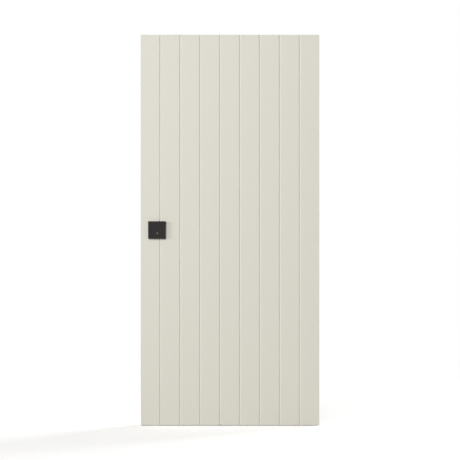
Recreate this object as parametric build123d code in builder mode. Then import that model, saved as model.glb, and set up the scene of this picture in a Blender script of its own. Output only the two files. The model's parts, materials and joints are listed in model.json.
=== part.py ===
"""Aluminium entrance door: a boarded leaf that laps over its frame, hung on three hidden hinges.

Millimetres. +Z is up, -Y is outdoors and +X is the hinge side. The origin is on the underside of the
threshold, midway between the jambs and in the middle of the frame's depth.
"""

from build123d import *
import os

os.makedirs("parts", exist_ok=True)

# The leaf as it is seen from outdoors
leaf_width = 960.0
leaf_height = 2100.0
floor_clearance = 5.0  # under the leaf
board_count = 9
outer_board_extra = 2.5  # how much wider the two outer boards are
groove_width = 10.0
groove_depth = 3.0
sheet = 4.0  # both facing sheets
sheet_edge = 0.8  # the broken edge round a facing sheet
lap_thickness = 36.0  # the part of the leaf that laps over the frame

# Frame
frame_depth = 80.0
frame_inset = 3.0  # the frame stays this far inside the leaf's outline
jamb_width = 40.0
stop_width = 18.0
stop_thickness = 16.0
seat_clearance = 8.0  # between leaf and frame, in front and behind
rebate_clearance = 9.0  # between leaf and frame, at the sides and the top

# What both share
wall = 2.0  # profile walls
break_depth = 20.0  # the insulating strips between outdoor and indoor metal
break_centre = -12.0
strip = 4.0  # thickness of an insulating strip
groove_recess = 3.0  # depth of the hardware groove over the strips
hardware_play = 0.1  # between the groove and the plates set into it

# Leaf profiles
stile_width = 60.0
rim = 2.0  # how far the leaf's profiles stay inside the facing sheet
hinge_channel = 32.0  # free width behind the sheet for the hinge knuckles

# Threshold
sill_height = 12.0
sill_clearance = 8.0
sill_nose = 4.0
sill_strip_recess = 1.0
tread_groove = 2.0  # width of each groove in the tread
tread_groove_depth = 0.8
tread_pitch = 4.5
upstand_height = 26.0

# Seals
seal_width = 6.0
seal_height = 3.0
seal_round = 1.2
seal_edge = 1.0  # from a seal to the edge of the face that carries it
channel_width = 3.0  # the channel that holds a seal's foot
channel_depth = 4.0
foot_play = 0.2
drop_seal_play = 1.0  # between the drop seal and the sides of its groove

# Hinges
hinge_from_ends = 252.0  # the middle of the outer hinges to the leaf's ends
hinge_from_edge = 15.0  # hinge axis to the leaf's edge
hinge_from_front = 24.0  # hinge axis to the leaf's front
hinge_length = 120.0
knuckle_radius = 9.0
knuckle_neck = 8.0
pin_radius = 5.0
pin_play = 0.06
pin_overhang = 3.0
collar_radius = 8.0
collar_height = 4.0
collar_play = 0.2
frame_flange = 5.0
frame_flange_width = 20.0
leaf_flange = 3.0
leaf_flange_width = 26.0
flange_tail = 50.0  # the screwed end of a flange, past its knuckle
flange_corner = 4.0

# Lock
backset = 35.0
cylinder_height = 1032.0  # key axis above the leaf's lower edge
lever_above_cylinder = 92.0
latch_above_lever = 22.0
deadbolt_above_cylinder = 32.0
hook_from_ends = 450.0  # the hook bolts to the leaf's ends
bolt_thickness = 12.0
latch_height = 30.0
deadbolt_height = 34.0
hook_height = 40.0
bolt_length = 34.0
bolt_play = 0.3
latch_bevel = 5.0
faceplate_from_ends = 190.0
case_thickness = 15.0
case_depth = 46.0
case_margin = 18.0  # case beyond its topmost and lowest bolt
case_play = 0.5
strike_margin = 24.0
strike_play = 2.0

# Lock cylinder
profile_radius = 8.5  # round head of its section
profile_web = 10.0
profile_height = 33.0
cylinder_play = 0.2
plug_radius = 6.9
plug_play = 0.05
keyway_width = 2.4
keyway_height = 8.5
keyway_depth = 26.0

# Outdoor pull
pull_above_cylinder = 18.0
pull_size = 94.0
pull_thickness = 6.0
pull_edge = 0.8
neck_width = 58.0
neck_inset = 2.0  # the neck stays this far inside the plate, above and below
neck_depth = 15.0

# Indoor furniture
plate_width = 30.0
plate_height = 250.0
plate_thickness = 9.0
plate_edge = 1.2
plate_below_cylinder = 62.0
lever_height = 20.0
lever_thickness = 10.0
lever_edge = 2.0
lever_stand_off = 46.0
lever_reach = 125.0
lever_bend = 14.0
spindle_side = 8.0
spindle_hole_radius = 6.5
turn_base_radius = 11.0
turn_base_depth = 7.0
turn_length = 32.0
turn_thickness = 9.0
turn_depth = 17.0
turn_edge = 0.8

# Wall fixings through the jambs
fixing_radius = 4.0
fixing_depth = 11.0  # indoors of the frame's middle
fixing_from_floor = 200.0
fixing_from_top = 222.0
fixing_count = 4

# Places worked out from the sizes above
frame_front = -frame_depth / 2
frame_back = frame_depth / 2
lap_back = frame_front - seat_clearance
leaf_front = lap_back - lap_thickness
stop_front = frame_back - stop_thickness
leaf_back = stop_front - seat_clearance
break_front = break_centre - break_depth / 2
break_back = break_centre + break_depth / 2
profile_front = leaf_front + sheet
profile_back = leaf_back - sheet

leaf_edge = leaf_width / 2
leaf_low = floor_clearance
leaf_high = floor_clearance + leaf_height
frame_side = leaf_edge - frame_inset
rebate_side = frame_side - jamb_width
box_side = rebate_side - rebate_clearance
stop_side = rebate_side - stop_width
stile_side = box_side - stile_width
frame_top = leaf_high - frame_inset
rebate_top = frame_top - jamb_width
box_top = rebate_top - rebate_clearance
stop_top = rebate_top - stop_width
rail_top = box_top - stile_width
box_low = sill_height + sill_clearance
rail_low = box_low + stile_width

board_pitch = (leaf_width - 2 * outer_board_extra + groove_width) / board_count
hinge_heights = {
    "bottom": leaf_low + hinge_from_ends,
    "middle": (leaf_low + leaf_high) / 2,
    "top": leaf_high - hinge_from_ends,
}
hinge_x = leaf_edge - hinge_from_edge
hinge_y = leaf_front + hinge_from_front
lap_wall = leaf_edge - hinge_channel
knuckle_height = (hinge_length - collar_height) / 2
cylinder_x = backset - box_side
cylinder_z = leaf_low + cylinder_height
pull_z = cylinder_z + pull_above_cylinder
pull_back = leaf_front - neck_depth
pull_front = pull_back - pull_thickness
plate_front = leaf_back + plate_thickness
plate_middle = cylinder_z - plate_below_cylinder + plate_height / 2
lever_z = cylinder_z + lever_above_cylinder
latch_z = lever_z + latch_above_lever
deadbolt_z = cylinder_z + deadbolt_above_cylinder
spindle_end = break_centre - case_thickness / 2 + hardware_play
fixing_pitch = (frame_top - fixing_from_top - fixing_from_floor) / (fixing_count - 1)
fixing_heights = [fixing_from_floor + fixing * fixing_pitch for fixing in range(fixing_count)]
far = 3.0 * leaf_height  # longer than the door, for cuts that pass right through

# Height and upright size of each bolt in the leaf's lock edge
bolts = {
    "latch_bolt": (latch_z, latch_height),
    "dead_bolt": (deadbolt_z, deadbolt_height),
    "lower_hook_bolt": (leaf_low + hook_from_ends, hook_height),
    "upper_hook_bolt": (leaf_high - hook_from_ends, hook_height),
}


def write(piece, name):
    """Labels a finished piece and writes it as parts/<name>.step."""
    piece.part.label = name
    export_step(piece.part, f"parts/{name}.step")


def rectangle_between(x0, y0, x1, y1, mode=Mode.ADD):
    """A rectangle in the sketch under way, given by two opposite corners."""
    with Locations(((x0 + x1) / 2, (y0 + y1) / 2)):
        Rectangle(abs(x1 - x0), abs(y1 - y0), mode=mode)


def box_between(low, high, mode=Mode.ADD):
    """A box in the part under way, given by two opposite corners."""
    middle = [(a + b) / 2 for a, b in zip(low, high)]
    with Locations(tuple(middle)):
        Box(*[abs(b - a) for a, b in zip(low, high)], mode=mode)


def elevation(depth):
    """The door's elevation plane at a depth: local X is the door's X and local Y is its height."""
    return Plane.XZ.offset(-depth)


# Each side of a frame has a plane across its profile: local X runs outwards from the opening and
# local Y runs indoors, so one drawn section serves every side.
def side_planes(side, top, low):
    """The section planes of the four sides of a rectangle, set on the given faces."""
    return {
        "hinge": Plane(origin=(side, 0, 0), x_dir=(1, 0, 0), z_dir=(0, 0, 1)),
        "lock": Plane(origin=(-side, 0, 0), x_dir=(-1, 0, 0), z_dir=(0, 0, -1)),
        "top": Plane(origin=(0, 0, top), x_dir=(0, 0, 1), z_dir=(-1, 0, 0)),
        "bottom": Plane(origin=(0, 0, low), x_dir=(0, 0, -1), z_dir=(1, 0, 0)),
    }


def mitred(section, plane, outline):
    """Runs a section along one side and trims it to its outline on the elevation."""
    with BuildPart() as run:
        with BuildSketch(plane):
            add(section)
        extrude(amount=far, both=True)
        with BuildSketch(Plane.XZ):
            Polygon(*outline)
        extrude(amount=far, both=True, mode=Mode.INTERSECT)
    return run.part


def bolt_room(name, x0, x1, play):
    """Opposite corners of the room that a bolt needs between two places across the door."""
    middle, height = bolts[name]
    half_thickness = bolt_thickness / 2 + play
    half_height = height / 2 + play
    return (
        (x0, break_centre - half_thickness, middle - half_height),
        (x1, break_centre + half_thickness, middle + half_height),
    )


def case_spans():
    """Lowest and highest point of the main lock case and of each hook's case."""
    main_low = cylinder_z + profile_radius - profile_height
    spans = [(main_low - case_play, latch_z + latch_height / 2 + case_margin)]
    for name in ("lower_hook_bolt", "upper_hook_bolt"):
        middle, height = bolts[name]
        reach = height / 2 + case_margin
        spans.append((middle - reach, middle + reach))
    return spans


def cylinder_section(play=0.0):
    """The lock cylinder's section on its key axis: a round head with a web below, grown by play."""
    foot = profile_radius - profile_height + profile_web / 2
    with BuildSketch() as section:
        Circle(profile_radius + play)
        rectangle_between(-profile_web / 2 - play, foot, profile_web / 2 + play, 0)
        with Locations((0, foot)):
            Circle(profile_web / 2 + play)
    return section.sketch


def cut_for_cylinder():
    """Cuts the lock cylinder's section, with its clearance, through the part under way."""
    with BuildSketch(Plane.XZ) as hole:
        with Locations((cylinder_x, cylinder_z)):
            add(cylinder_section(cylinder_play))
    extrude(hole.sketch, amount=far, both=True, mode=Mode.SUBTRACT)


def rout_for_cylinder():
    """Routs a plain long hole for the lock cylinder where a plate hides it from view."""
    with BuildSketch(Plane.XZ) as hole:
        with Locations((cylinder_x, cylinder_z + profile_radius - profile_height / 2)):
            SlotOverall(
                profile_height + 2 * cylinder_play, 2 * (profile_radius + cylinder_play), rotation=90
            )
    extrude(hole.sketch, amount=far, both=True, mode=Mode.SUBTRACT)


def cut_for_spindle(y0, y1):
    """Drills the lever spindle's hole between two depths of the part under way."""
    with BuildSketch(elevation(y1)) as hole:
        with Locations((cylinder_x, lever_z)):
            Circle(spindle_hole_radius)
    extrude(hole.sketch, amount=y1 - y0, mode=Mode.SUBTRACT)


def facing_sheet(half_width, low, high, back, outward):
    """A boarded facing sheet: V grooves on its outer face, one board's pitch apart."""
    with BuildPart() as facing:
        with BuildSketch(elevation(back)) as blank:
            rectangle_between(-half_width, low, half_width, high)
        extrude(amount=sheet * -outward)
        face = facing.faces().sort_by(Axis.Y)[0 if outward < 0 else -1]
        chamfer(face.edges(), sheet_edge)
        outer = back + sheet * outward
        with BuildSketch(Plane.XY.offset(low)):
            for board in range(1, board_count):
                middle = (board - board_count / 2) * board_pitch
                Polygon(
                    (middle - groove_width / 2, outer),
                    (middle, outer - groove_depth * outward),
                    (middle + groove_width / 2, outer),
                )
        extrude(amount=high - low, mode=Mode.SUBTRACT)
        rout_for_cylinder()
    return facing.part


# Frame: two jambs and a head, mitred at the top
frame_planes = side_planes(rebate_side, rebate_top, 0)
frame_outlines = {
    "hinge": [(stop_side, 0), (frame_side, 0), (frame_side, frame_top), (stop_side, stop_top)],
    "lock": [(-stop_side, 0), (-stop_side, stop_top), (-frame_side, frame_top), (-frame_side, 0)],
    "top": [
        (-stop_side, stop_top),
        (stop_side, stop_top),
        (frame_side, frame_top),
        (-frame_side, frame_top),
    ],
}

# A seal's foot sits in a channel, here at its middle from the opening and from the face that it opens to
front_channel = seal_edge + seal_width / 2
stop_channel = front_channel - stop_width
sill_channel = (
    (-stop_side - front_channel, stop_front, upstand_height - front_channel - channel_width / 2),
    (
        stop_side + front_channel,
        stop_front + channel_depth,
        upstand_height - front_channel + channel_width / 2,
    ),
)


def seal_channel(middle, face):
    """A channel for a seal's foot, walled inside the profile's chamber, in the section under way."""
    half = channel_width / 2
    rectangle_between(middle - half - wall, face, middle + half + wall, face + channel_depth + wall)
    rectangle_between(middle - half, face, middle + half, face + channel_depth, Mode.SUBTRACT)


with BuildSketch() as frame_section:
    rectangle_between(0, frame_front, jamb_width, break_front)
    rectangle_between(0, break_back, jamb_width, frame_back)
    rectangle_between(-stop_width, stop_front, 0, frame_back)
    rectangle_between(wall, frame_front + wall, jamb_width - wall, break_front - wall, Mode.SUBTRACT)
    rectangle_between(wall, break_back + wall, jamb_width - wall, frame_back - wall, Mode.SUBTRACT)
    rectangle_between(wall - stop_width, stop_front + wall, 0, frame_back - wall, Mode.SUBTRACT)
    seal_channel(front_channel, frame_front)
    seal_channel(stop_channel, stop_front)

for side, name in {"hinge": "hinge_jamb", "lock": "lock_jamb"}.items():
    with BuildPart() as jamb:
        add(mitred(frame_section.sketch, frame_planes[side], frame_outlines[side]))
        with Locations(Plane.YZ):
            for height in fixing_heights:
                with Locations((fixing_depth, height, 0)):
                    Cylinder(fixing_radius, far, mode=Mode.SUBTRACT)
        box_between(*sill_channel, mode=Mode.SUBTRACT)
    write(jamb, name)

with BuildPart() as head_rail:
    add(mitred(frame_section.sketch, frame_planes["top"], frame_outlines["top"]))
write(head_rail, "head_rail")

# Insulating strips that join the frame's outdoor and indoor tubes, one by the rebate and one outside
with BuildSketch() as frame_strip_section:
    rectangle_between(groove_recess, break_front, groove_recess + strip, break_back)
    rectangle_between(jamb_width - strip, break_front, jamb_width, break_back)

with BuildPart() as frame_strips:
    for side, outline in frame_outlines.items():
        add(mitred(frame_strip_section.sketch, frame_planes[side], outline))
    for name in bolts:
        room = bolt_room(name, -rebate_side - groove_recess - strip, -rebate_side, strike_play)
        box_between(*room, mode=Mode.SUBTRACT)
write(frame_strips, "frame_insulating_strips")

# Threshold: an outdoor and an indoor bar with an insulating strip between them
def cut_tread(y0, y1):
    """Cuts as many grooves as fit, one pitch apart, into the tread between two depths."""
    count = int((y1 - y0) // tread_pitch)
    with BuildSketch(Plane.YZ) as grooves:
        with Locations(((y0 + y1) / 2, sill_height - tread_groove_depth / 2)):
            with GridLocations(tread_pitch, 1, count, 1):
                Rectangle(tread_groove, tread_groove_depth)
    extrude(grooves.sketch, amount=rebate_side, both=True, mode=Mode.SUBTRACT)


with BuildPart() as threshold_outdoor_bar:
    with BuildSketch(Plane.YZ):
        rectangle_between(frame_front, 0, break_front, sill_height)
    extrude(amount=rebate_side, both=True)
    nose = threshold_outdoor_bar.edges().filter_by(Axis.X).group_by(Axis.Y)[0].sort_by(Axis.Z)[-1]
    chamfer(nose, sill_nose)
    cut_tread(frame_front + sill_nose, break_front)
write(threshold_outdoor_bar, "threshold_outdoor_bar")

with BuildPart() as threshold_strip:
    with BuildSketch(Plane.YZ):
        rectangle_between(break_front, 0, break_back, sill_height - sill_strip_recess)
    extrude(amount=rebate_side, both=True)
write(threshold_strip, "threshold_insulating_strip")

with BuildPart() as threshold_indoor_bar:
    with BuildSketch(Plane.YZ):
        rectangle_between(break_back, 0, stop_front, sill_height)
    extrude(amount=rebate_side, both=True)
    with BuildSketch(Plane.YZ):
        rectangle_between(stop_front, 0, frame_back, upstand_height)
    extrude(amount=stop_side, both=True)
    cut_tread(break_back, stop_front)
    box_between(*sill_channel, mode=Mode.SUBTRACT)
write(threshold_indoor_bar, "threshold_indoor_bar")

# Seals on the frame's front, round three sides, and on the stop, round all four
def ring(plane, half_width, low, high, width, open_below):
    """A rectangular ring of one width, drawn inwards from its outer edge, whose lower side may be open."""
    with BuildSketch(plane) as outline:
        rectangle_between(-half_width, low, half_width, high)
        floor = low if open_below else low + width
        rectangle_between(width - half_width, floor, half_width - width, high - width, Mode.SUBTRACT)
    return outline.sketch


def seal(face, half_width, low, high, open_below):
    """A strip that stands on a face of the frame, with a foot in the channel behind it."""
    foot_width = channel_width - 2 * foot_play
    foot_depth = channel_depth - foot_play
    inset = (seal_width - foot_width) / 2
    foot_low = low if open_below else low + inset
    with BuildPart() as strip_and_foot:
        extrude(ring(elevation(face), half_width, low, high, seal_width, open_below), amount=seal_height)
        fillet(strip_and_foot.faces().sort_by(Axis.Y)[0].edges(), seal_round)
        foot = ring(
            elevation(face + foot_depth), half_width - inset, foot_low, high - inset, foot_width, open_below
        )
        extrude(foot, amount=foot_depth)
    return strip_and_foot


seal_reach = seal_edge + seal_width
write(seal(frame_front, rebate_side + seal_reach, sill_height, rebate_top + seal_reach, True), "front_seal")
write(
    seal(stop_front, stop_side + seal_reach, upstand_height - seal_reach, stop_top + seal_reach, False),
    "stop_seal",
)

# Leaf: stiles and rails, an outdoor profile with the lap and an indoor profile behind the break
lap_side = leaf_edge - rim
lap_low = leaf_low + rim
lap_top = leaf_high - rim
corner_x = box_side + box_low - lap_low  # where the lower mitres reach the lap's lower edge
corner_z = box_top + lap_wall - box_side  # where the hinge stile's upper mitre reaches its lap wall
leaf_planes = side_planes(box_side, box_top, box_low)
lap_reach = {
    "hinge": lap_wall - box_side,
    "lock": lap_side - box_side,
    "top": lap_top - box_top,
    "bottom": box_low - lap_low,
}
leaf_outlines = {
    "hinge": [
        (stile_side, rail_low),
        (corner_x, lap_low),
        (lap_wall, lap_low),
        (lap_wall, corner_z),
        (stile_side, rail_top),
    ],
    "lock": [
        (-stile_side, rail_low),
        (-stile_side, rail_top),
        (-lap_side, lap_top),
        (-lap_side, lap_low),
        (-corner_x, lap_low),
    ],
    "top": [
        (-stile_side, rail_top),
        (stile_side, rail_top),
        (lap_wall, corner_z),
        (lap_wall, lap_top),
        (-lap_side, lap_top),
    ],
    "bottom": [
        (-stile_side, rail_low),
        (-corner_x, lap_low),
        (corner_x, lap_low),
        (stile_side, rail_low),
    ],
}


def leaf_section(reach):
    """Outdoor profile, whose lap reaches past the rebate face, and indoor profile, with their chambers."""
    inner = -stile_width
    with BuildSketch() as section:
        rectangle_between(inner, profile_front, reach, lap_back)
        rectangle_between(inner, lap_back, 0, break_front)
        rectangle_between(inner, break_back, 0, profile_back)
        rectangle_between(inner + wall, profile_front + wall, reach - wall, lap_back - wall, Mode.SUBTRACT)
        rectangle_between(inner + wall, lap_back, -wall, break_front - wall, Mode.SUBTRACT)
        rectangle_between(inner + wall, break_back + wall, -wall, profile_back - wall, Mode.SUBTRACT)
    return section.sketch


for side, name in {"hinge": "hinge_stile", "top": "top_rail", "bottom": "bottom_rail"}.items():
    with BuildPart() as member:
        add(mitred(leaf_section(lap_reach[side]), leaf_planes[side], leaf_outlines[side]))
    write(member, name)

with BuildPart() as lock_stile:
    add(mitred(leaf_section(lap_reach["lock"]), leaf_planes["lock"], leaf_outlines["lock"]))
    rout_for_cylinder()
    cut_for_spindle(break_back, profile_back)
write(lock_stile, "lock_stile")

with BuildSketch() as leaf_strip_section:
    rectangle_between(-groove_recess - strip, break_front, -groove_recess, break_back)
    rectangle_between(-stile_width, break_front, strip - stile_width, break_back)

with BuildPart() as leaf_strips:
    for side, outline in leaf_outlines.items():
        add(mitred(leaf_strip_section.sketch, leaf_planes[side], outline))
    for low, high in case_spans():
        box_between(
            (-box_side, break_front, low - case_play),
            (-box_side + groove_recess + strip, break_back, high + case_play),
            Mode.SUBTRACT,
        )
write(leaf_strips, "leaf_insulating_strips")

with BuildPart() as insulating_core:
    box_between((-stile_side, profile_front, rail_low), (stile_side, profile_back, rail_top))
write(insulating_core, "insulating_core")

with BuildPart() as outdoor_sheet:
    add(facing_sheet(leaf_edge, leaf_low, leaf_high, profile_front, -1))
write(outdoor_sheet, "outdoor_sheet")

with BuildPart() as indoor_sheet:
    add(facing_sheet(box_side, box_low, box_top, profile_back, 1))
    cut_for_spindle(profile_back, leaf_back)
write(indoor_sheet, "indoor_sheet")

with BuildPart() as drop_seal:
    box_between(
        (-box_side, break_front + drop_seal_play, box_low - seal_height),
        (box_side, break_back - drop_seal_play, box_low + groove_recess),
    )
    lower_edges = drop_seal.edges().filter_by(Axis.X).group_by(Axis.Z)[0]
    fillet(lower_edges, seal_round)
write(drop_seal, "drop_seal")


# Hinges: the frame part below, the leaf part above, and a pin with a bearing collar between them
for name, middle in hinge_heights.items():
    low = middle - hinge_length / 2
    collar_low = low + knuckle_height
    collar_high = collar_low + collar_height
    high = middle + hinge_length / 2
    leaf_part_low = collar_high + collar_play

    with BuildPart() as frame_part:
        with BuildSketch(Plane.XY.offset(low)):
            with Locations((hinge_x, hinge_y)):
                Circle(knuckle_radius)
            rectangle_between(
                hinge_x - knuckle_neck / 2, hinge_y, hinge_x + knuckle_neck / 2, frame_front
            )
        extrude(amount=knuckle_height)
        box_between(
            (hinge_x - frame_flange_width / 2, frame_front - frame_flange, low - flange_tail),
            (hinge_x + frame_flange_width / 2, frame_front, collar_low),
        )
        flange_ends = frame_part.edges().filter_by(Axis.Y).group_by(Axis.Z)[0]
        chamfer(flange_ends, flange_corner)
        with Locations((hinge_x, hinge_y, low + knuckle_height / 2)):
            Cylinder(pin_radius + pin_play, 2 * knuckle_height, mode=Mode.SUBTRACT)
    write(frame_part, f"{name}_hinge_frame_part")

    with BuildPart() as leaf_part:
        with BuildSketch(Plane.XY.offset(leaf_part_low)):
            with Locations((hinge_x, hinge_y)):
                Circle(knuckle_radius)
            rectangle_between(
                lap_wall, hinge_y - knuckle_neck / 2, hinge_x, hinge_y + knuckle_neck / 2
            )
        extrude(amount=high - leaf_part_low)
        flange_y = (profile_front + lap_back) / 2
        box_between(
            (lap_wall, flange_y - leaf_flange_width / 2, leaf_part_low),
            (lap_wall + leaf_flange, flange_y + leaf_flange_width / 2, high + flange_tail),
        )
        flange_ends = leaf_part.edges().filter_by(Axis.X).group_by(Axis.Z)[-1]
        chamfer(flange_ends, flange_corner)
        with Locations((hinge_x, hinge_y, high)):
            Cylinder(pin_radius + pin_play, 2 * hinge_length, mode=Mode.SUBTRACT)
    write(leaf_part, f"{name}_hinge_leaf_part")

    with BuildPart() as pin:
        with Locations((hinge_x, hinge_y, (low + high + pin_overhang) / 2)):
            Cylinder(pin_radius, high + pin_overhang - low)
        with Locations((hinge_x, hinge_y, (collar_low + collar_high) / 2)):
            Cylinder(collar_radius, collar_height)
    write(pin, f"{name}_hinge_pin")

# Lock: one long faceplate, three cases behind it and four bolts, drawn withdrawn
with BuildPart() as faceplate:
    with BuildSketch(Plane.YZ.offset(-box_side)):
        with Locations((break_centre, (leaf_low + leaf_high) / 2)):
            SlotOverall(
                leaf_height - 2 * faceplate_from_ends, break_depth - 2 * hardware_play, rotation=90
            )
    extrude(amount=groove_recess)
    for name in bolts:
        room = bolt_room(name, -box_side, -box_side + groove_recess, bolt_play)
        box_between(*room, mode=Mode.SUBTRACT)
write(faceplate, "lock_faceplate")

with BuildPart() as lock_cases:
    for low, high in case_spans():
        box_between(
            (-box_side + groove_recess, break_centre - case_thickness / 2, low),
            (-box_side + groove_recess + case_depth, break_centre + case_thickness / 2, high),
        )
    for name in bolts:
        room = bolt_room(name, -box_side, -box_side + bolt_length + bolt_play, bolt_play)
        box_between(*room, mode=Mode.SUBTRACT)
    cut_for_cylinder()
    cut_for_spindle(break_front, break_back)
write(lock_cases, "lock_cases")

for name in bolts:
    with BuildPart() as bolt:
        box_between(*bolt_room(name, -box_side, -box_side + bolt_length, 0))
        if name == "latch_bolt":
            bevelled = bolt.edges().filter_by(Axis.Z).group_by(Axis.X)[0].sort_by(Axis.Y)[-1]
            chamfer(bevelled, latch_bevel)
    write(bolt, name)


def strike(names):
    """A strike plate in the jamb's hardware groove, with a slot for each of the named bolts."""
    lows = [bolts[name][0] - bolts[name][1] / 2 for name in names]
    highs = [bolts[name][0] + bolts[name][1] / 2 for name in names]
    low = min(lows) - strike_margin
    high = max(highs) + strike_margin
    with BuildPart() as plate:
        with BuildSketch(Plane.YZ.offset(-rebate_side - groove_recess)):
            with Locations((break_centre, (low + high) / 2)):
                SlotOverall(high - low, break_depth - 2 * hardware_play, rotation=90)
        extrude(amount=groove_recess)
        for name in names:
            room = bolt_room(name, -rebate_side - groove_recess, -rebate_side, strike_play)
            box_between(*room, mode=Mode.SUBTRACT)
    return plate


write(strike(["dead_bolt", "latch_bolt"]), "lock_strike")
write(strike(["lower_hook_bolt"]), "lower_hook_strike")
write(strike(["upper_hook_bolt"]), "upper_hook_strike")

# Lock cylinder, from the back of the pull's plate to the indoor plate's face; its plug reaches through
# the pull's plate, which covers the rest and so keeps the cylinder from being pulled out
key_axis = Plane(origin=(cylinder_x, 0, cylinder_z), x_dir=(1, 0, 0), z_dir=(0, -1, 0))
plug_end = break_centre - case_play

with BuildPart() as cylinder_body:
    with BuildSketch(key_axis.offset(-plate_front)):
        add(cylinder_section())
        Circle(plug_radius + plug_play, mode=Mode.SUBTRACT)
    extrude(amount=plate_front - pull_back)
write(cylinder_body, "cylinder_body")

with BuildPart() as key_plug:
    with BuildSketch(key_axis.offset(-plug_end)):
        Circle(plug_radius)
    extrude(amount=plug_end - pull_front)
    with BuildSketch(key_axis.offset(-pull_front)):
        Rectangle(keyway_width, keyway_height)
    extrude(amount=-keyway_depth, mode=Mode.SUBTRACT)
write(key_plug, "key_plug")

with BuildPart() as thumb_turn:
    with BuildSketch(key_axis.offset(-plate_front)):
        Circle(plug_radius)
    extrude(amount=plate_front - break_centre - case_play)
    with BuildSketch(key_axis.offset(-plate_front)):
        Circle(turn_base_radius)
    extrude(amount=-turn_base_depth)
    with BuildSketch(key_axis.offset(-plate_front - turn_base_depth)):
        RectangleRounded(turn_thickness, turn_length, turn_thickness / 2 - turn_edge)
    extrude(amount=-turn_depth)
write(thumb_turn, "thumb_turn")

# Outdoor pull: a square plate carried by a neck that leaves room for the fingers at both sides
pull_plane = Plane(origin=(cylinder_x, 0, pull_z), x_dir=(1, 0, 0), z_dir=(0, -1, 0))

with BuildPart() as pull_neck:
    with BuildSketch(pull_plane.offset(-leaf_front)):
        Rectangle(neck_width, pull_size - 2 * neck_inset)
    extrude(amount=neck_depth)
    rout_for_cylinder()
write(pull_neck, "pull_neck")

with BuildPart() as pull_plate:
    with BuildSketch(pull_plane.offset(-pull_back)):
        Rectangle(pull_size, pull_size)
    extrude(amount=pull_thickness)
    chamfer(pull_plate.faces().sort_by(Axis.Y)[0].edges(), pull_edge)
    with Locations(key_axis.offset(-pull_front)):
        Hole(plug_radius + cylinder_play)
write(pull_plate, "pull_plate")

# Indoor furniture: a narrow plate with the lever and the thumb turn
with BuildPart() as indoor_plate:
    with BuildSketch(elevation(leaf_back)):
        with Locations((cylinder_x, plate_middle)):
            Rectangle(plate_width, plate_height)
    extrude(amount=-plate_thickness)
    chamfer(indoor_plate.faces().sort_by(Axis.Y)[-1].edges(), plate_edge)
    cut_for_cylinder()
    cut_for_spindle(leaf_back, plate_front)
write(indoor_plate, "indoor_plate")

lever_y = leaf_back + lever_stand_off
with BuildPart() as lever_handle:
    with BuildLine(Plane.XY.offset(lever_z)):
        FilletPolyline(
            (cylinder_x, plate_front),
            (cylinder_x, lever_y),
            (cylinder_x + lever_reach, lever_y),
            radius=lever_bend,
        )
    lever_foot = Plane(origin=(cylinder_x, plate_front, lever_z), x_dir=(1, 0, 0), z_dir=(0, 1, 0))
    with BuildSketch(lever_foot) as lever_section:
        Rectangle(lever_thickness, lever_height)
        chamfer(lever_section.vertices(), lever_edge)
    sweep()
    with BuildSketch(elevation(plate_front)):
        with Locations((cylinder_x, lever_z)):
            Rectangle(spindle_side, spindle_side)
    extrude(amount=plate_front - spindle_end)
write(lever_handle, "lever_handle")
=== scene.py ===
# %% [markdown]
# # An aluminium entrance door, dressed for a studio picture
# The door comes in as a finished frame: every profile, sheet, bolt and hinge is already a solid at its
# true size, in metres, with +Z up, -Y outdoors and +X on the hinge side. This script never reshapes
# those solids. It gives each one the finish of its real material, adds the small things that a workshop
# adds last, such as screws, seals and caps, and sets up the camera and the light.

# %% Load the frame
import json
import bmesh
import bpy
import numpy as np
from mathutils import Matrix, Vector


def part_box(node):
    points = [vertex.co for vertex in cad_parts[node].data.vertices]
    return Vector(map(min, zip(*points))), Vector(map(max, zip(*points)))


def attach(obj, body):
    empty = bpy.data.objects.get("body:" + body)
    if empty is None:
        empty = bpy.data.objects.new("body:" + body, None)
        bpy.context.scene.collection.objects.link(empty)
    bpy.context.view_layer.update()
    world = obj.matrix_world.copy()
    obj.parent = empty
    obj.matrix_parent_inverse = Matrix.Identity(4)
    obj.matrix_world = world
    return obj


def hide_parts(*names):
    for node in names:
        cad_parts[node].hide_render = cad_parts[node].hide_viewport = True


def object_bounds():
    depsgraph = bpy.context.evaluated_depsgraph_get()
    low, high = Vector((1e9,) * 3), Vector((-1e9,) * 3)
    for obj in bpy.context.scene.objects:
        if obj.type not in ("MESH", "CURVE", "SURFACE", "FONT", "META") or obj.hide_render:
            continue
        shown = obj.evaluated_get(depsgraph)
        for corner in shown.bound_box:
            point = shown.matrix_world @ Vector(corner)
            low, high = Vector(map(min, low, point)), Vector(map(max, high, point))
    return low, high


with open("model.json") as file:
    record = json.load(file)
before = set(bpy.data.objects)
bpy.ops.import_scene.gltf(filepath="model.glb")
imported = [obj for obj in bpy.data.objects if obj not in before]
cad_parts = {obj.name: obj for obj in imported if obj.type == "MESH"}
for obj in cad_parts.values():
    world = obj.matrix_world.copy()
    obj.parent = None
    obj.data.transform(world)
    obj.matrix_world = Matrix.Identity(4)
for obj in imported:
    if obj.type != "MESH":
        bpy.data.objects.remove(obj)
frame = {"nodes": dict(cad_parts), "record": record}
cad_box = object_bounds()
nodes = frame["nodes"]
mm = 0.001
print(len(nodes), "solids, from", [round(v, 3) for v in cad_box[0]],
      "to", [round(v, 3) for v in cad_box[1]])

# %% [markdown]
# ## Camera
# The photograph is a straight elevation, without any sign of perspective: the pull stands in front of
# the leaf and still shows none of its sides. An orthographic camera could do it, but a long lens from
# far away looks the same and keeps the natural look of the other views. The distance follows from the
# similar triangles of a pinhole camera: distance = lens x height in view / sensor.

# %% Camera
picture_pixels = 460
leaf_pixels = 390.35  # the leaf's height in the photograph
lens = 200.0  # mm
sensor = 36.0  # mm

leaf_low, leaf_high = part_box("outdoor_sheet")
height_in_view = (leaf_high.z - leaf_low.z) * picture_pixels / leaf_pixels
distance = lens * height_in_view / sensor

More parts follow.
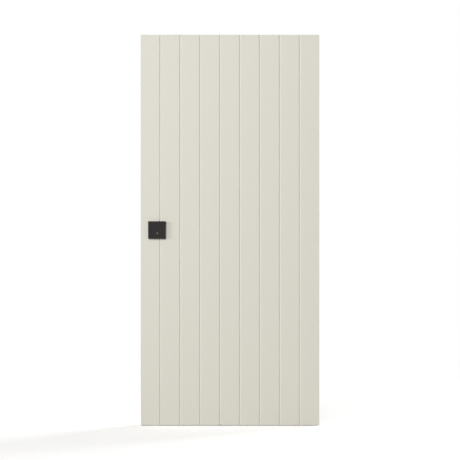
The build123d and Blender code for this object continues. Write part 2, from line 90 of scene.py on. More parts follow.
camera_data = bpy.data.cameras.new("elevation_camera")
camera_data.lens = lens
camera_data.sensor_width = sensor
camera = bpy.data.objects.new("elevation_camera", camera_data)
camera.location = (0, leaf_low.y - distance, (leaf_low.z + leaf_high.z) / 2)
camera.rotation_euler = (np.pi / 2, 0, 0)
bpy.context.scene.collection.objects.link(camera)
bpy.context.scene.camera = camera
print("camera", round(distance, 2), "m in front of the leaf, one pixel is",
      round(height_in_view / picture_pixels / mm, 2), "mm")

# %% [markdown]
# ## Nodes and colours
# Every material below is a small graph of nodes. One function starts an empty one, and another adds a
# node: its properties are keyword arguments, and a socket gets either a value or another node's output.
# Colours are written as sRGB hex, the way a colour card gives them, and a third function turns them into
# the linear values that the renderer works in.

# %% Helpers for materials, nodes, colours and pattern sizes
def new_material(name):
    """A material without any nodes yet, and its node tree."""
    material = bpy.data.materials.new(name)
    material.use_nodes = True
    material.node_tree.nodes.clear()
    return material, material.node_tree


def add_node(tree, kind, sockets=None, **settings):
    """Adds one shader node. sockets maps an input's name or number to a value or to another output."""
    node = tree.nodes.new("ShaderNode" + kind)
    for name, value in settings.items():
        setattr(node, name, value)
    for name, value in (sockets or {}).items():
        if isinstance(value, bpy.types.NodeSocket):
            tree.links.new(value, node.inputs[name])
        else:
            node.inputs[name].default_value = value
    return node


def linear(colour):
    """sRGB hex to linear: c / 12.92 up to 0.04045, and ((c + 0.055) / 1.055) to the power 2.4 above."""
    srgb = np.array([int(colour[place:place + 2], 16) for place in (1, 3, 5)]) / 255
    rgb = np.where(srgb <= 0.04045, srgb / 12.92, ((srgb + 0.055) / 1.055) ** 2.4)
    return (*rgb.tolist(), 1.0)


def per_metre(size_mm):
    """How many pattern features of a size in millimetres lie along one metre."""
    return 1000.0 / size_mm


print("#D8D5C9 is", [round(part, 3) for part in linear("#D8D5C9")[:3]], "in linear light")

# %% [markdown]
# ## Studio light
# In the photograph each groove has a dark left flank and a bright right flank, and the pull's soft shadow
# falls to the right and down, so the main light stands to the left, above and in front. One bare lamp
# would draw a hard shadow. A studio uses large soft boxes, so there are three: a main one in front, a
# weak raking one from the left that draws the grooves, and one behind for the indoor face. A uniform
# world fills the shadows. The power of each follows from the share of plain light that it should give:
# an area lamp of power P lights a surface at distance d by P cos(angle) / (pi d) squared.

# %% World and soft boxes
world_share = 0.165


def seen_directly(tree):
    """1 for camera, mirror and see-through rays, which should meet a white studio, and 0 for all others."""
    path = add_node(tree, "LightPath").outputs
    mirrored = add_node(
        tree, "Math", {0: path["Is Glossy Ray"], 1: path["Is Transmission Ray"]}, operation="MAXIMUM"
    ).outputs[0]
    return add_node(tree, "Math", {0: path["Is Camera Ray"], 1: mirrored}, operation="MAXIMUM").outputs[0]


world = bpy.data.worlds.new("studio_world")
world.use_nodes = True
tree = world.node_tree
tree.nodes.clear()
fill = add_node(tree, "Background", {"Color": linear("#FFFFFF"), "Strength": world_share})
white = add_node(tree, "Background", {"Color": linear("#FFFFFF"), "Strength": 1.0})
either = add_node(tree, "MixShader", {0: seen_directly(tree), 1: fill.outputs[0], 2: white.outputs[0]})
add_node(tree, "OutputWorld", {"Surface": either.outputs[0]})
bpy.context.scene.world = world
bpy.context.scene.view_settings.view_transform = "Standard"


def soft_box(name, direction, share, size, facing, away=15.0):
    """A square area lamp in a direction from the door's middle that adds a share of plain light."""
    towards = Vector(direction).normalized()
    lamp = bpy.data.lights.new(name, "AREA")
    lamp.size = size
    lamp.energy = share * (np.pi * away) ** 2 / abs(towards @ Vector(facing))
    box = bpy.data.objects.new(name, lamp)
    middle = (cad_box[0] + cad_box[1]) / 2
    box.location = middle + away * towards
    box.rotation_euler = towards.to_track_quat("Z", "Y").to_euler()
    box.visible_camera = False
    bpy.context.scene.collection.objects.link(box)
    print(name, round(lamp.energy), "W")


outdoors = (0, -1, 0)
indoors = (0, 1, 0)
soft_box("main_soft_box", (-0.20, -1.0, 0.26), share=0.60, size=5.0, facing=outdoors)
soft_box("raking_soft_box", (-1.0, -0.62, 0.05), share=0.16, size=4.0, facing=outdoors)
soft_box("indoor_soft_box", (0.7, 1.0, 0.30), share=0.74, size=6.0, facing=indoors)

# %% [markdown]
# ## Floor
# A pale floor that should read as white and still carry the door's shadow. More light would bleach the
# door as well, so the floor gets a little light of its own instead, and only for rays that come straight
# from the camera or by way of a mirror. Light that bounces off it meets a duller paint: a white floor
# would fill the grooves from below and take their shade away near the sill. Far from the door the floor
# fades into plain white, as the curved backdrop of a studio does, so that it shows no edge.

# %% Floor
floor_reach = 5.0
fade_start = 2.0
floor_glow = 0.55

floor_mesh = bpy.data.meshes.new("studio_floor")
corners = [(x * floor_reach, y * floor_reach, 0.0) for x, y in ((-1, -1), (1, -1), (1, 1), (-1, 1))]
floor_mesh.from_pydata(corners, [], [(0, 1, 2, 3)])
floor = bpy.data.objects.new("studio_floor", floor_mesh)
bpy.context.scene.collection.objects.link(floor)

floor_paint, tree = new_material("pale matt floor paint")
pale_matt = add_node(tree, "BsdfDiffuse", {"Color": linear("#E6E5E2")})
dull_matt = add_node(tree, "BsdfDiffuse", {"Color": linear("#A8A7A4")})
glow = add_node(tree, "Emission", {"Color": linear("#FFFFFF"), "Strength": floor_glow})
lifted = add_node(tree, "AddShader", {0: pale_matt.outputs[0], 1: glow.outputs[0]})
place = add_node(tree, "TexCoord").outputs["Object"]
from_door = add_node(tree, "VectorMath", {0: place}, operation="LENGTH").outputs["Value"]
fade = add_node(
    tree, "MapRange", {0: from_door, 1: fade_start, 2: floor_reach}, interpolation_type="SMOOTHSTEP"
)
white = add_node(tree, "Emission", {"Color": linear("#FFFFFF"), "Strength": 1.0})
shown = add_node(tree, "MixShader", {0: fade.outputs[0], 1: lifted.outputs[0], 2: white.outputs[0]})
either = add_node(tree, "MixShader", {0: seen_directly(tree), 1: dull_matt.outputs[0], 2: shown.outputs[0]})
add_node(tree, "OutputMaterial", {"Surface": either.outputs[0]})
floor_mesh.materials.append(floor_paint)
print("floor", 2 * floor_reach, "m square")

# %% [markdown]
# ## Polyester powder coat
# The sheets and profiles are aluminium sprayed with dry polyester powder and baked. The film is even in
# colour and semi-matt, and its surface has a faint ripple, called orange peel, with a fine grain on top.
# A dielectric shader with an IOR of 1.5 gives its soft sheen. The grain is really about 0.3 mm, too fine
# to show, so it is drawn at 1.4 mm. The colour varies by about one percent, in clouds a hand wide,
# where the film is a little thicker. Sawn corners are broken by the film, so the edges are softened.
# Profiles are cut at 45 degrees and crimped at the corners, which leaves a hairline along each mitre.

# %% Powder coat
cloud_mm = 90
peel_mm = 7
grain_mm = 1.4  # coarser than the real 0.3 mm, so that it shows
peel_depth = 0.06 * mm
grain_depth = 0.03 * mm
sheen_spread = 0.03
mitre_hairline = 0.4 * mm
mitre_shade = "#8E8B80"
edge_samples = 4


def powder_coat(name, colour, shadow_colour, roughness, edge_mm=0.5, gloss=0.5, mitres=()):
    """Baked powder film. mitres lists (slope, height): hairlines where z - slope * |x| equals height."""
    material, tree = new_material(name)
    place = add_node(tree, "TexCoord").outputs["Object"]
    clouds = add_node(tree, "TexNoise", {"Vector": place, "Scale": per_metre(cloud_mm), "Detail": 2.0})
    film = add_node(
        tree,
        "Mix",
        {0: clouds.outputs["Fac"], 6: linear(shadow_colour), 7: linear(colour)},
        data_type="RGBA",
    ).outputs[2]
    if mitres:
        axes = add_node(tree, "SeparateXYZ", {0: place}).outputs
        beside = add_node(tree, "Math", {0: axes["X"]}, operation="ABSOLUTE").outputs[0]
        for slope, height in mitres:
            line = add_node(
                tree, "Math", {0: beside, 1: -slope, 2: axes["Z"]}, operation="MULTIPLY_ADD"
            ).outputs[0]
            near = add_node(
                tree, "Math", {0: line, 1: height, 2: mitre_hairline}, operation="COMPARE"
            ).outputs[0]
            film = add_node(
                tree, "Mix", {0: near, 6: film, 7: linear(mitre_shade)}, data_type="RGBA"
            ).outputs[2]
    peel = add_node(tree, "TexNoise", {"Vector": place, "Scale": per_metre(peel_mm), "Detail": 1.0})
    grain = add_node(tree, "TexNoise", {"Vector": place, "Scale": per_metre(grain_mm), "Detail": 0.0})
    edge = add_node(tree, "Bevel", {"Radius": edge_mm * mm}, samples=edge_samples)
    ripple = add_node(
        tree,
        "Bump",
        {"Distance": peel_depth, "Height": peel.outputs["Fac"], "Normal": edge.outputs[0]},
    )
    rough = add_node(
        tree,
        "Bump",
        {"Distance": grain_depth, "Height": grain.outputs["Fac"], "Normal": ripple.outputs[0]},
    )
    sheen = add_node(
        tree,
        "MapRange",
        {0: clouds.outputs["Fac"], 3: roughness - sheen_spread, 4: roughness + sheen_spread},
    )
    film_shader = add_node(
        tree,
        "BsdfPrincipled",
        {
            "Base Color": film,
            "Roughness": sheen.outputs[0],
            "IOR": 1.5,
            "Specular IOR Level": gloss,
            "Normal": rough.outputs[0],
        },
    )
    add_node(tree, "OutputMaterial", {"Surface": film_shader.outputs[0]})
    return material


core_low, core_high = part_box("insulating_core")
top_mitre = core_high.z - core_high.x
bottom_mitre = core_low.z + core_high.x
off_white = {"colour": "#D8D5C9", "shadow_colour": "#D6D3C7", "roughness": 0.5}
sheet_coat = powder_coat("powder coated sheet", **off_white)
leaf_coat = powder_coat(
    "powder coated leaf profile", mitres=[(1, top_mitre), (-1, bottom_mitre)], **off_white
)
frame_coat = powder_coat("powder coated frame profile", mitres=[(1, top_mitre)], **off_white)
pull_coat = powder_coat(
    "matt black powder coated pull", "#2D2B2A", "#2A2827", roughness=0.8, edge_mm=0.4, gloss=0.2
)
furniture_coat = powder_coat(
    "matt black powder coated furniture", "#2B2928", "#282625", roughness=0.7, edge_mm=0.3, gloss=0.25
)
hinge_coat = powder_coat(
    "black powder coated hinge", "#2A2928", "#272625", roughness=0.6, edge_mm=0.4, gloss=0.4
)
print("mitres meet the corners at z - x =", round(top_mitre, 3), "and z + x =", round(bottom_mitre, 3))

# %% [markdown]
# ## Bare metals
# The threshold is extruded aluminium with a clear anodic film: a satin metal with fine die lines along
# its length. Bolts, pins and plates are stainless steel, ground with a belt along their long side. The
# lock cases are steel with a thin zinc plating, which has a bluish, cloudy look. The lock cylinder is
# brass with a black plating, which keys wear grey at the slot's rim. All are metals, so the colour tints
# the reflection and the default IOR stays. Lines are noise that is stretched along one axis, and they
# modulate height and roughness. The lines of a grinding belt are really about a tenth of a millimetre
# wide, too fine to show, so they are drawn about one millimetre wide.

# %% Drawn, ground and plated metal
line_stretch = 60
line_depth = 0.02 * mm
tone_mm = 60
tone_darker = 0.9
metal_edge = 0.3 * mm


def lined_metal(name, colour, roughness, line_mm, along, spread=0.08):
    """Metal with lines along one axis: noise, line_mm wide, and line_stretch times as long as wide."""
    material, tree = new_material(name)
    place = add_node(tree, "TexCoord").outputs["Object"]
    stretch = [1 / line_stretch if axis == along else 1.0 for axis in "xyz"]
    drawn = add_node(tree, "Mapping", {"Vector": place, "Scale": stretch})
    lines = add_node(
        tree, "TexNoise", {"Vector": drawn.outputs[0], "Scale": per_metre(line_mm), "Detail": 3.0}
    )
    tone = add_node(tree, "TexNoise", {"Vector": place, "Scale": per_metre(tone_mm), "Detail": 2.0})
    darker = [part * tone_darker for part in linear(colour)[:3]] + [1.0]
    metal = add_node(
        tree, "Mix", {0: tone.outputs["Fac"], 6: darker, 7: linear(colour)}, data_type="RGBA"
    )
    rough = add_node(
        tree, "MapRange", {0: lines.outputs["Fac"], 3: roughness - spread, 4: roughness + spread}
    )
    edge = add_node(tree, "Bevel", {"Radius": metal_edge}, samples=edge_samples)
    relief = add_node(
        tree,
        "Bump",
        {"Distance": line_depth, "Height": lines.outputs["Fac"], "Normal": edge.outputs[0]},
    )
    shader = add_node(
        tree,
        "BsdfPrincipled",
        {
            "Base Color": metal.outputs[2],
            "Metallic": 1.0,
            "Roughness": rough.outputs[0],
            "Normal": relief.outputs[0],
        },
    )
    add_node(tree, "OutputMaterial", {"Surface": shader.outputs[0]})
    return material


anodised = lined_metal("anodised aluminium", "#B9BABB", roughness=0.42, line_mm=1.2, along="x")
stainless = lined_metal("ground stainless steel", "#BDBCB8", roughness=0.34, line_mm=0.9, along="z")
zinc = lined_metal("zinc plated steel", "#A7ACB2", roughness=0.45, line_mm=2.5, along="y", spread=0.12)
black_plated = lined_metal(
    "black plated brass", "#2B2A28", roughness=0.4, line_mm=0.8, along="x", spread=0.05
)
worn_plating = lined_metal(
    "worn black plating", "#494641", roughness=0.35, line_mm=0.8, along="z", spread=0.05
)
print("metals:", anodised.name, stainless.name, zinc.name, black_plated.name, worn_plating.name, sep=", ")

# %% [markdown]
# ## Plastics, rubber and foam
# The insulating strips are polyamide with a quarter of short glass fibres: dull black with pale specks
# where fibres reach the surface. The seals are extruded EPDM rubber, deep black and matt, a little grey
# where talc from the extrusion clings to them. The core is rigid polyurethane foam, cream coloured, with
# closed cells. Each starts from Voronoi cells. Fibre ends and foam cells are really a few tenths of a
# millimetre wide, too fine to show, so they are drawn about one millimetre wide.

# %% Speckled plastics
def speckled(name, colour, speck_colour, speck_mm, share, roughness, depth):
    """A plastic with specks: a share of its Voronoi cells, each speck_mm wide, has the speck's colour."""
    material, tree = new_material(name)
    place = add_node(tree, "TexCoord").outputs["Object"]
    cells = add_node(tree, "TexVoronoi", {"Vector": place, "Scale": per_metre(speck_mm)})
    pick = add_node(tree, "SeparateColor", {0: cells.outputs["Color"]})
    chosen = add_node(tree, "Math", {0: pick.outputs[0], 1: share}, operation="LESS_THAN")
    body = add_node(
        tree, "Mix", {0: chosen.outputs[0], 6: linear(colour), 7: linear(speck_colour)}, data_type="RGBA"
    )
    relief = add_node(tree, "Bump", {"Distance": depth, "Height": cells.outputs["Distance"]})
    shader = add_node(
        tree,
        "BsdfPrincipled",
        {"Base Color": body.outputs[2], "Roughness": roughness, "Normal": relief.outputs[0]},
    )
    add_node(tree, "OutputMaterial", {"Surface": shader.outputs[0]})
    return material


polyamide = speckled(
    "glass filled polyamide", "#1B1B1C", "#3A3A3A",
    speck_mm=0.9, share=0.12, roughness=0.6, depth=0.02 * mm,
)
rubber = speckled(
    "extruded EPDM rubber", "#151516", "#202021",
    speck_mm=3.0, share=0.3, roughness=0.75, depth=0.01 * mm,
)
foam = speckled(
    "rigid polyurethane foam", "#DCCD9C", "#CDBD8A",
    speck_mm=1.2, share=0.35, roughness=0.9, depth=0.3 * mm,
)
print("plastics:", polyamide.name, rubber.name, foam.name, sep=", ")

# %% [markdown]
# ## Handing out the finishes
# Each solid keeps its own mesh and only gets a new material in its slot. The list is by finish, as a
# coating plan in a workshop would be, and the line printed at the end names any solid left out.

# %% Coating plan
hinge_names = ("bottom", "middle", "top")
coating_plan = [
    (sheet_coat, ["outdoor_sheet", "indoor_sheet"]),
    (leaf_coat, ["hinge_stile", "lock_stile", "top_rail", "bottom_rail"]),
    (frame_coat, ["hinge_jamb", "lock_jamb", "head_rail"]),
    (anodised, ["threshold_outdoor_bar", "threshold_indoor_bar"]),
    (polyamide, ["frame_insulating_strips", "leaf_insulating_strips", "threshold_insulating_strip"]),
    (rubber, ["front_seal", "stop_seal", "drop_seal"]),
    (foam, ["insulating_core"]),
    (hinge_coat, [f"{name}_hinge_{part}_part" for name in hinge_names for part in ("frame", "leaf")]),
    (stainless, [f"{name}_hinge_pin" for name in hinge_names]),
    (stainless, ["lock_faceplate", "lock_strike", "lower_hook_strike", "upper_hook_strike"]),
    (stainless, ["latch_bolt", "dead_bolt", "lower_hook_bolt", "upper_hook_bolt"]),
    (zinc, ["lock_cases"]),
    (black_plated, ["cylinder_body", "key_plug"]),
    (pull_coat, ["pull_neck", "pull_plate"]),
    (furniture_coat, ["thumb_turn", "indoor_plate", "lever_handle"]),
]
for material, names in coating_plan:
    for name in names:
        for holder in nodes[name].material_slots:
            holder.material = material
coated = {name for _, names in coating_plan for name in names}
print("coated", len(coated), "solids, left out", sorted(set(nodes) - coated))

# %% [markdown]
# ## Surfaces from arrays
# Every added piece is a surface: a grid of points, worked out at once for all rows and columns. One
# helper turns such a grid into a mesh. Each row closes on itself, a row that shrinks to one point becomes
# a pole, and edges sharper than a limit stay crisp.

# %% One function for surfaces
crisp = np.radians(35)
same_point = 0.001 * mm  # points closer than this are joined


def surface(name, points, body, material):
    """Grids of points (copies, rows, columns, xyz), closed round their columns, become one quad mesh."""
    copies, rows, columns = points.shape[:3]
    index = np.arange(copies * rows * columns).reshape(copies, rows, columns)
    after = np.roll(index, -1, axis=2)
    quads = np.stack([index[:, :-1], after[:, :-1], after[:, 1:], index[:, 1:]], axis=-1)
    mesh = bpy.data.meshes.new(name)
    mesh.from_pydata(points.reshape(-1, 3).tolist(), [], quads.reshape(-1, 4).tolist())
    shell = bmesh.new()
    shell.from_mesh(mesh)
    bmesh.ops.remove_doubles(shell, verts=shell.verts, dist=same_point)
    bmesh.ops.recalc_face_normals(shell, faces=shell.faces)
    shell.to_mesh(mesh)
    shell.free()
    mesh.shade_smooth()
    mesh.set_sharp_from_angle(angle=crisp)
    mesh.materials.append(material)
    piece = bpy.data.objects.new(name, mesh)
    bpy.context.scene.collection.objects.link(piece)
    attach(piece, body)
    print(name, copies, "x", rows, "x", columns, "points,", len(mesh.polygons), "faces")
    return piece


# %% [markdown]
# ## Turned pieces
# Screws, caps, the collar and the pin are all turned: a profile of radii and heights is carried round an
# axis. Cylinders with bevels would need a cut or a modifier for every step, while a profile has them all.
# Two profiles come back: a low dome, and an outline that is given by its corners.

# %% Turning
dome_steps = 7


def turned(radii, heights, seats, axis):
    """Turns a profile about an axis at each seat: seat + r (U cos t + V sin t) + h W, with W the axis."""
    along = np.array(axis, float)
    beside = np.roll(along, 1)
    across = np.cross(along, beside)
    turn = np.linspace(0, 2 * np.pi, radii.shape[1], endpoint=False)
    round_about = np.cos(turn)[:, None] * beside + np.sin(turn)[:, None] * across
    profile = radii[..., None] * round_about + heights[:, None, None] * along
    return np.array(seats, float)[:, None, None, :] + profile


def dome(radius, rise, columns=40):
    """The profile of a low dome, closed on the axis at both ends: r = R cos a, h = rise sin a."""
    climb = np.linspace(0, np.pi / 2, dome_steps)[:-1]
    radii = np.concatenate([[0], radius * np.cos(climb), [0]])
    heights = np.concatenate([[0], rise * np.sin(climb), [rise]])
    return np.outer(radii, np.ones(columns)), heights


def outline(corners_mm, columns=40):
    """The profile through corners of (radius, height) in millimetres, the same at every angle."""
    radii, heights = np.array(corners_mm).T * mm
    return np.outer(radii, np.ones(columns)), heights


# %% [markdown]
# ## Screws
# Plates on a door are held by raised countersunk screws: a low oval dome with a hexagon socket. Modelling
# one as a cylinder with a hole needs a boolean cut. As a surface it is simpler: the profile climbs over
# the dome, drops into the socket and closes at its floor, and only the socket's radius depends on the
# angle. A regular hexagon's edge lies at apothem / cos(angle folded into one sixth of a turn).

# %% Oval head screws
screw_radius = 4.0 * mm
screw_rise = 1.1 * mm
screw_columns = 36
socket_apothem = 1.5 * mm
socket_lip = 1.25  # the dome ends at this many apothems from the axis
socket_taper = 0.94
socket_depth = 0.9 * mm
socket_dish = 0.1 * mm


def oval_heads(name, seats, axis, body, material):
    """Dome: r = R cos a, h = rise sin a. Socket: r = apothem / cos(angle from the flat's middle)."""
    turn = np.linspace(0, 2 * np.pi, screw_columns, endpoint=False)
    sixth = (turn + np.pi / 6) % (np.pi / 3) - np.pi / 6
    hexagon = socket_apothem / np.cos(sixth)
    climb = np.linspace(0, np.arccos(socket_lip * socket_apothem / screw_radius), dome_steps)
    dome_radii = np.outer(screw_radius * np.cos(climb), np.ones_like(turn))
    dome_heights = screw_rise * np.sin(climb)
    point = np.zeros((1, len(turn)))
    radii = np.vstack([point, dome_radii, hexagon, socket_taper * hexagon, point])
    top = dome_heights[-1]
    floor_height = top - socket_depth
    heights = np.array([0, *dome_heights, top, floor_height, floor_height - socket_dish])
    return surface(name, turned(radii, heights, seats, axis), body, material)


# %% [markdown]
# ## Where the screws sit
# A hinge is held through the plain ends of its two flanges. The faceplate has a screw at each end and
# five beside the latch and the hook bolts, and one more, just under the key's height, keeps the lock
# cylinder from sliding out. Strikes and the indoor plate have one near each end. All places come from
# the solids' own boxes.

# %% Hinge screws
screw_shares = (0.28, 0.72)
flange_tail = 50 * mm
frame_flange = 5 * mm  # how thick the flange is
leaf_flange = 3 * mm
frame_seats, leaf_seats = [], []
for name in hinge_names:
    low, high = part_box(f"{name}_hinge_frame_part")
    frame_seats += [
        ((low.x + high.x) / 2, high.y - frame_flange, low.z + share * flange_tail)
        for share in screw_shares
    ]
    low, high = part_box(f"{name}_hinge_leaf_part")
    leaf_seats += [
        (low.x + leaf_flange, (low.y + high.y) / 2, high.z - share * flange_tail)
        for share in screw_shares
    ]
oval_heads("hinge_frame_screws", frame_seats, (0, -1, 0), "frame", stainless)
oval_heads("hinge_leaf_screws", leaf_seats, (1, 0, 0), "leaf", stainless)

# %% Lock screws
plate_inset = 12 * mm
strike_inset = 11 * mm
beside_bolt = 14 * mm
under_key = 12 * mm


def end_seats(node, inset, face):
    """Two seats on a long plate, one near each end, with the plate's face given as a box corner number."""
    low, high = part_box(node)
    side = (low, high)[face].x
    return [(side, (low.y + high.y) / 2, z) for z in (low.z + inset, high.z - inset)]


low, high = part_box("key_plug")
key_height = (low.z + high.z) / 2
lower_low, lower_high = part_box("lower_hook_bolt")
latch_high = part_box("latch_bolt")[1]
upper_low, upper_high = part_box("upper_hook_bolt")
screw_heights = (
    lower_low.z - beside_bolt,
    lower_high.z + beside_bolt,
    latch_high.z + beside_bolt,
    upper_low.z - beside_bolt,
    upper_high.z + beside_bolt,
    key_height - under_key,
)
plate_low, plate_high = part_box("lock_faceplate")
plate_middle = (plate_low.y + plate_high.y) / 2
faceplate_seats = [(plate_low.x, plate_middle, z) for z in screw_heights]
faceplate_seats += end_seats("lock_faceplate", plate_inset, 0)
oval_heads("faceplate_screws", faceplate_seats, (-1, 0, 0), "leaf", stainless)

strike_seats = []
for name in ("lock_strike", "lower_hook_strike", "upper_hook_strike"):
    strike_seats += end_seats(name, strike_inset, 1)
oval_heads("strike_screws", strike_seats, (1, 0, 0), "frame", stainless)

# %% Indoor plate screws
low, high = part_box("indoor_plate")
indoor_seats = [((low.x + high.x) / 2, high.y, z) for z in (low.z + plate_inset, high.z - plate_inset)]
oval_heads("indoor_plate_screws", indoor_seats, (0, 1, 0), "leaf", furniture_coat)

# %% [markdown]
# ## Hinge caps
# Each hinge pin ends in a shallow domed cap, and the lowest knuckle is closed by a turned disc. Both are
# profiles turned about the hinge axis.

# %% Caps on the hinges
pin_tops, knuckle_feet = [], []
for name in hinge_names:
    low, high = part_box(f"{name}_hinge_pin")
    pin_tops.append(((low.x + high.x) / 2, (low.y + high.y) / 2, high.z))
    knuckle_feet.append(((low.x + high.x) / 2, (low.y + high.y) / 2, low.z))
pin_cap = dome(radius=4.9 * mm, rise=1.2 * mm)
surface("hinge_pin_caps", turned(*pin_cap, pin_tops, (0, 0, 1)), "frame", stainless)
foot_cap = outline([(0, 0), (8.6, 0), (8.6, 0.9), (7.9, 1.6), (0, 1.6)])
surface("hinge_foot_caps", turned(*foot_cap, knuckle_feet, (0, 0, -1)),
        "frame", hinge_coat)

# %% [markdown]
# ## Seals
# The frame's rubber seals are extruded with soft ribs that fold flat when the leaf presses on them. The
# solid behind each is a plain strip, so the ribbed one replaces it. Its section is carried round the
# frame: every line of the section is the seal's outline moved inwards by the same amount, which mitres
# the corners by itself.

# %% Ribbed seals
seal_width = 6 * mm
seal_height = 3 * mm
rib_count = 3
rib_floor = 0.62  # how high the valleys between the ribs are, as a share of the seal's height


def ribbed_section(steps=37):
    """Across s from 0 to 1: h = H (f + (1 - f) sin^2(ribs pi s)) (1 - |2 s - 1|^8)^0.5, f the rib floor."""
    share = np.linspace(0, 1, steps)
    ribs = rib_floor + (1 - rib_floor) * np.sin(rib_count * np.pi * share) ** 2
    shoulders = np.sqrt(1 - np.abs(2 * share - 1) ** 8)
    across = np.append(seal_width * share, seal_width / 2)
    rise = np.append(seal_height * ribs * shoulders, 0.0)
    return across, rise


def seal_ring(node, name, open_below):
    """Rows are the outline's corners. Columns are the section's points, moved inwards by their s."""
    low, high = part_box(node)
    face = low.y + seal_height
    across, rise = ribbed_section()
    foot = np.full(len(across), low.z) if open_below else low.z + across
    corners = [(-1, 0), (-1, 1), (1, 1), (1, 0)]
    if not open_below:
        corners.append((-1, 0))
    rows = []
    for side, up in corners:
        x = side * (high.x - across)
        z = high.z - across if up else foot
        rows.append(np.stack([x, face - rise, z], axis=-1))
    if open_below:
        rows.insert(0, np.broadcast_to(rows[0].mean(axis=0), rows[0].shape))
        rows.append(np.broadcast_to(rows[-1].mean(axis=0), rows[-1].shape))
    piece = surface(name, np.array(rows)[None], "frame", rubber)
    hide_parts(node)


seal_ring("front_seal", "front_seal_ribs", True)
seal_ring("stop_seal", "stop_seal_ribs", False)

# %% [markdown]
# ## End cap of the top rail
# Above the hinges the top rail runs on to the hinge channel and would show its open chamber there. A
# moulded polyamide cap closes it, as on most extruded rails. It could be a box with bevels, but a moulded
# cap has round corners and a shallow panel in its face, so it is one outline, a superellipse that is
# nearly a rectangle, scaled and lifted row by row. It sits between the corner joint and the rail's top.

# %% Superellipse outlines
def superellipse(power, steps=48):
    """Points of |x|^n + |y|^n = 1: x = sign(cos t) |cos t|^(2/n), y = sign(sin t) |sin t|^(2/n)."""
    turn = np.linspace(0, 2 * np.pi, steps, endpoint=False)
    x = np.sign(np.cos(turn)) * np.abs(np.cos(turn)) ** (2 / power)
    y = np.sign(np.sin(turn)) * np.abs(np.sin(turn)) ** (2 / power)
    return x, y


# %% End cap
rail_low, rail_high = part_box("top_rail")
sheet_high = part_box("indoor_sheet")[1]
flange_low, flange_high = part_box("top_hinge_leaf_part")
lap_middle = (flange_low.y + flange_high.y) / 2
joint_height = sheet_high.z + rail_high.x - sheet_high.x
cap_half_depth = lap_middle - rail_low.y
cap_half_height = (rail_high.z - joint_height) / 2
# Each row is a share of the outline's size and a rise in millimetres: edge, shoulder, rim and panel.
cap_rows = [(0.0, 0.0), (1.0, 0.0), (1.0, 1.2), (0.96, 1.6), (0.8, 1.6), (0.77, 1.1), (0.0, 1.1)]
across, up = superellipse(power=14)
cap = np.array([
    np.stack([
        np.full(len(across), rail_high.x + rise * mm),
        lap_middle + cap_half_depth * size * across,
        joint_height + cap_half_height * (1 + size * up),
    ], axis=-1)
    for size, rise in cap_rows
])
surface("top_rail_end_cap", cap[None], "leaf", polyamide)
print("cap", round(2 * cap_half_depth / mm, 1), "by", round(2 * cap_half_height / mm, 1), "mm")

# %% [markdown]
# ## Cover caps in the rebate
# The frame is screwed to the wall through each jamb, and small round caps cover the screw holes in the
# rebate. Their places are those of the fixings that the record states: pairs about a common middle.

# %% Cover caps
cover_cap = outline([(0, 0), (6.0, 0), (6.0, 0.5), (5.4, 1.0), (4.4, 1.2), (0, 1.2)])
low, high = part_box("threshold_outdoor_bar")
for name, rebate, facing in (("hinge", high.x, -1), ("lock", low.x, 1)):
    cover_seats = [
        (rebate, mount["pos_m"][1], mount["pos_m"][2] + half * mount["dims"]["spacing_y_mm"] / 2 * mm)
        for mount in frame["record"]["mounts"]
        if mount["name"].startswith(f"{name}_jamb")
        for half in (-1, 1)
    ]
    surface(f"{name}_jamb_cover_caps", turned(*cover_cap, cover_seats, (facing, 0, 0)),
            "frame", sheet_coat)

# %% [markdown]
# ## Lever handle
# The lever is cast zinc, ground smooth and coated black. A swept rectangle looks sawn, so the piece that
# shows is a superellipse, x^5 + y^5 = 1 stretched to the lever's section, carried along a path that
# leaves the plate, turns through a quarter circle and runs towards the hinges. Near its end the section
# shrinks by a law of the same kind, which rounds the tip.

# %% The lever's path
neck_steps = 4
bend_steps = 17
arm_steps = 12
tip_steps = 10
half_thick = 5 * mm
bend = 14 * mm
tip_length = 4 * mm

low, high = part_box("lever_handle")
lever_centre = (low.z + high.z) / 2
plate_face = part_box("indoor_plate")[1].y
half_high = (high.z - low.z) / 2
spindle_x = low.x + half_thick
grip_y = high.y - half_thick
neck = np.linspace(plate_face, grip_y - bend, neck_steps)[:-1]
quarter = np.linspace(0, np.pi / 2, bend_steps)
arm = np.linspace(spindle_x + bend, high.x - tip_length, arm_steps)[1:-1]
tip = np.linspace(0, 1, tip_steps)
centres = np.concatenate([
    np.stack([np.full(len(neck), spindle_x), neck], axis=-1),
    np.stack([spindle_x + bend * (1 - np.cos(quarter)), grip_y - bend * (1 - np.sin(quarter))], axis=-1),
    np.stack([arm, np.full(len(arm), grip_y)], axis=-1),
    np.stack([high.x - tip_length * (1 - tip), np.full(len(tip), grip_y)], axis=-1),
])
directions = np.gradient(centres, axis=0)
directions /= np.linalg.norm(directions, axis=1, keepdims=True)
normals = np.stack([-directions[:, 1], directions[:, 0]], axis=-1)
print("the lever's path has", len(centres), "points")

# %% The lever's sections
tip_height = 0.6  # the share of its height that the section keeps up to the very end


def rounded_end(share, power=3):
    """How wide a section still is at a share of its end length: (1 - share^n)^(1/n)."""
    return (1 - share ** power) ** (1 / power)


width = np.concatenate([np.ones(len(centres) - len(tip)), rounded_end(tip)])[:, None]
height = (tip_height + (1 - tip_height) * width) * (width > 0)
across, up = superellipse(power=5)
lever_points = np.zeros((len(centres), len(across), 3))
lever_points[..., :2] = centres[:, None] + normals[:, None] * (half_thick * width * across)[..., None]
lever_points[..., 2] = lever_centre + half_high * height * up
first = np.broadcast_to([spindle_x, plate_face, lever_centre], lever_points[:1].shape)
last = np.broadcast_to([high.x, grip_y, lever_centre], lever_points[:1].shape)
lever = surface("lever_grip", np.concatenate([first, lever_points, last])[None],
                "leaf", furniture_coat)
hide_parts("lever_handle")

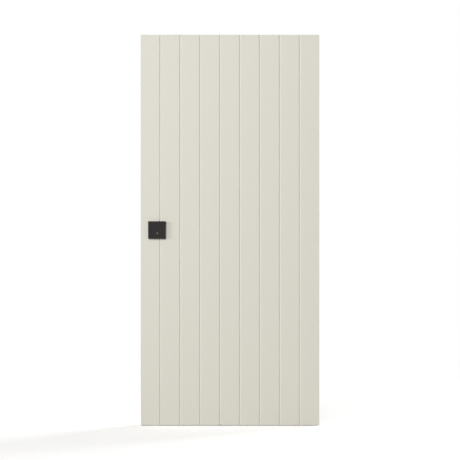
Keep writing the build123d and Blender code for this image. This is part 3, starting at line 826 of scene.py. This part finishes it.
# %% [markdown]
# ## Lever collar and thumb turn
# Where the lever enters the plate a turned collar carries it, and below it a thumb turn throws the bolt.
# The collar is a profile turned about the spindle. The thumb turn is two pieces: a turned foot with
# softened shoulders, and a wing whose superellipse section narrows towards the hand.

# %% Collar
fine_columns = 48
collar = outline([(0, 0), (9.2, 0), (9.2, 2.4), (8.8, 2.9), (8.0, 3.2), (0, 3.2)], columns=fine_columns)
surface("lever_collar", turned(*collar, [(spindle_x, plate_face, lever_centre)], (0, 1, 0)),
        "leaf", furniture_coat)

# %% The thumb turn's foot
low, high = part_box("thumb_turn")
turn_centre = (low.z + high.z) / 2
foot_radius = 11 * mm
foot_depth = 7 * mm
soften = 2 * mm
shoulder = np.linspace(0, np.pi / 2, dome_steps)
foot_outline = np.concatenate([[0, foot_radius], foot_radius - soften * (1 - np.cos(shoulder)), [0]])
foot_climb = np.concatenate([[0, 0], foot_depth - soften * (1 - np.sin(shoulder)), [foot_depth]])
foot_radii = np.outer(foot_outline, np.ones(fine_columns))
surface("thumb_turn_foot",
        turned(foot_radii, foot_climb, [(spindle_x, plate_face, turn_centre)], (0, 1, 0)),
        "leaf", furniture_coat)

# %% The thumb turn's wing
wing_half_thick = 4.5 * mm
wing_half_high = (high.z - low.z) / 2
wing_root = plate_face + foot_depth - 0.5 * mm  # half a millimetre inside the foot
wing_taper = 0.18
wing_end_height = 0.9  # the share of its height that the wing keeps up to the very end
wing_rows = 22

wing_steps = np.linspace(0, 1, wing_rows)[:, None]
rounding = rounded_end(wing_steps ** 3)
thickness = (1 - wing_taper * wing_steps ** 2) * rounding
height = (wing_end_height + (1 - wing_end_height) * rounding) * (rounding > 0)
across, up = superellipse(power=3)
wing = np.zeros((len(wing_steps), len(across), 3))
wing[..., 0] = spindle_x + wing_half_thick * thickness * across
wing[..., 1] = wing_root + (high.y - wing_root) * wing_steps
wing[..., 2] = turn_centre + wing_half_high * height * up
start = np.broadcast_to([spindle_x, wing_root, turn_centre], wing[:1].shape)
wing_piece = surface("thumb_turn_wing", np.concatenate([start, wing])[None],
                     "leaf", furniture_coat)
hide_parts("thumb_turn")

# %% [markdown]
# ## Key slot
# In the photograph a tiny grey speck sits in the black pull, at the height of the key. Part of it is the
# slot's rim, where keys have worn the black plating. The rim is a narrow frame round the slot: four
# corners, carried through a section that rises a tenth of a millimetre and drops into the slot.

# %% Key slot rim
low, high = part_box("key_plug")
plug_middle = (low.x + high.x) / 2
slot_half_width = 1.2 * mm
slot_half_height = 4.25 * mm
slot_depth = 1.5 * mm
rim_width = 0.5 * mm
rim_crown = 0.8 * rim_width
rim_rise = 0.12 * mm
corner_x = np.array([-1, 1, 1, -1])
corner_z = np.array([-1, -1, 1, 1])
rim_rows = [
    (rim_width, 0.0),
    (rim_crown, rim_rise),
    (0.0, rim_rise),
    (0.0, -slot_depth),
    (rim_width, 0.0),
]
rim = np.array([
    np.stack([
        plug_middle + corner_x * (slot_half_width + outwards),
        np.full(len(corner_x), low.y - rise),
        key_height + corner_z * (slot_half_height + outwards),
    ], axis=-1)
    for outwards, rise in rim_rows
])
surface("key_slot_rim", rim[None], "leaf", worn_plating)

# %% [markdown]
# ## Drill guard pin
# The rest of the speck is brighter than worn plating and lies just right of the slot, near its middle.
# That is where many lock cylinders carry a hardened steel pin that blunts a drill. Its polished end is a
# small dome, turned from a profile like the hinge caps.

# %% Pin beside the key slot
pin_right = 3.0 * mm
pin_up = 0.8 * mm
pin_end = dome(radius=1.3 * mm, rise=0.12 * mm)
pin_seat = (plug_middle + pin_right, low.y, key_height + pin_up)
surface("drill_guard_pin", turned(*pin_end, [pin_seat], (0, -1, 0)), "leaf", stainless)
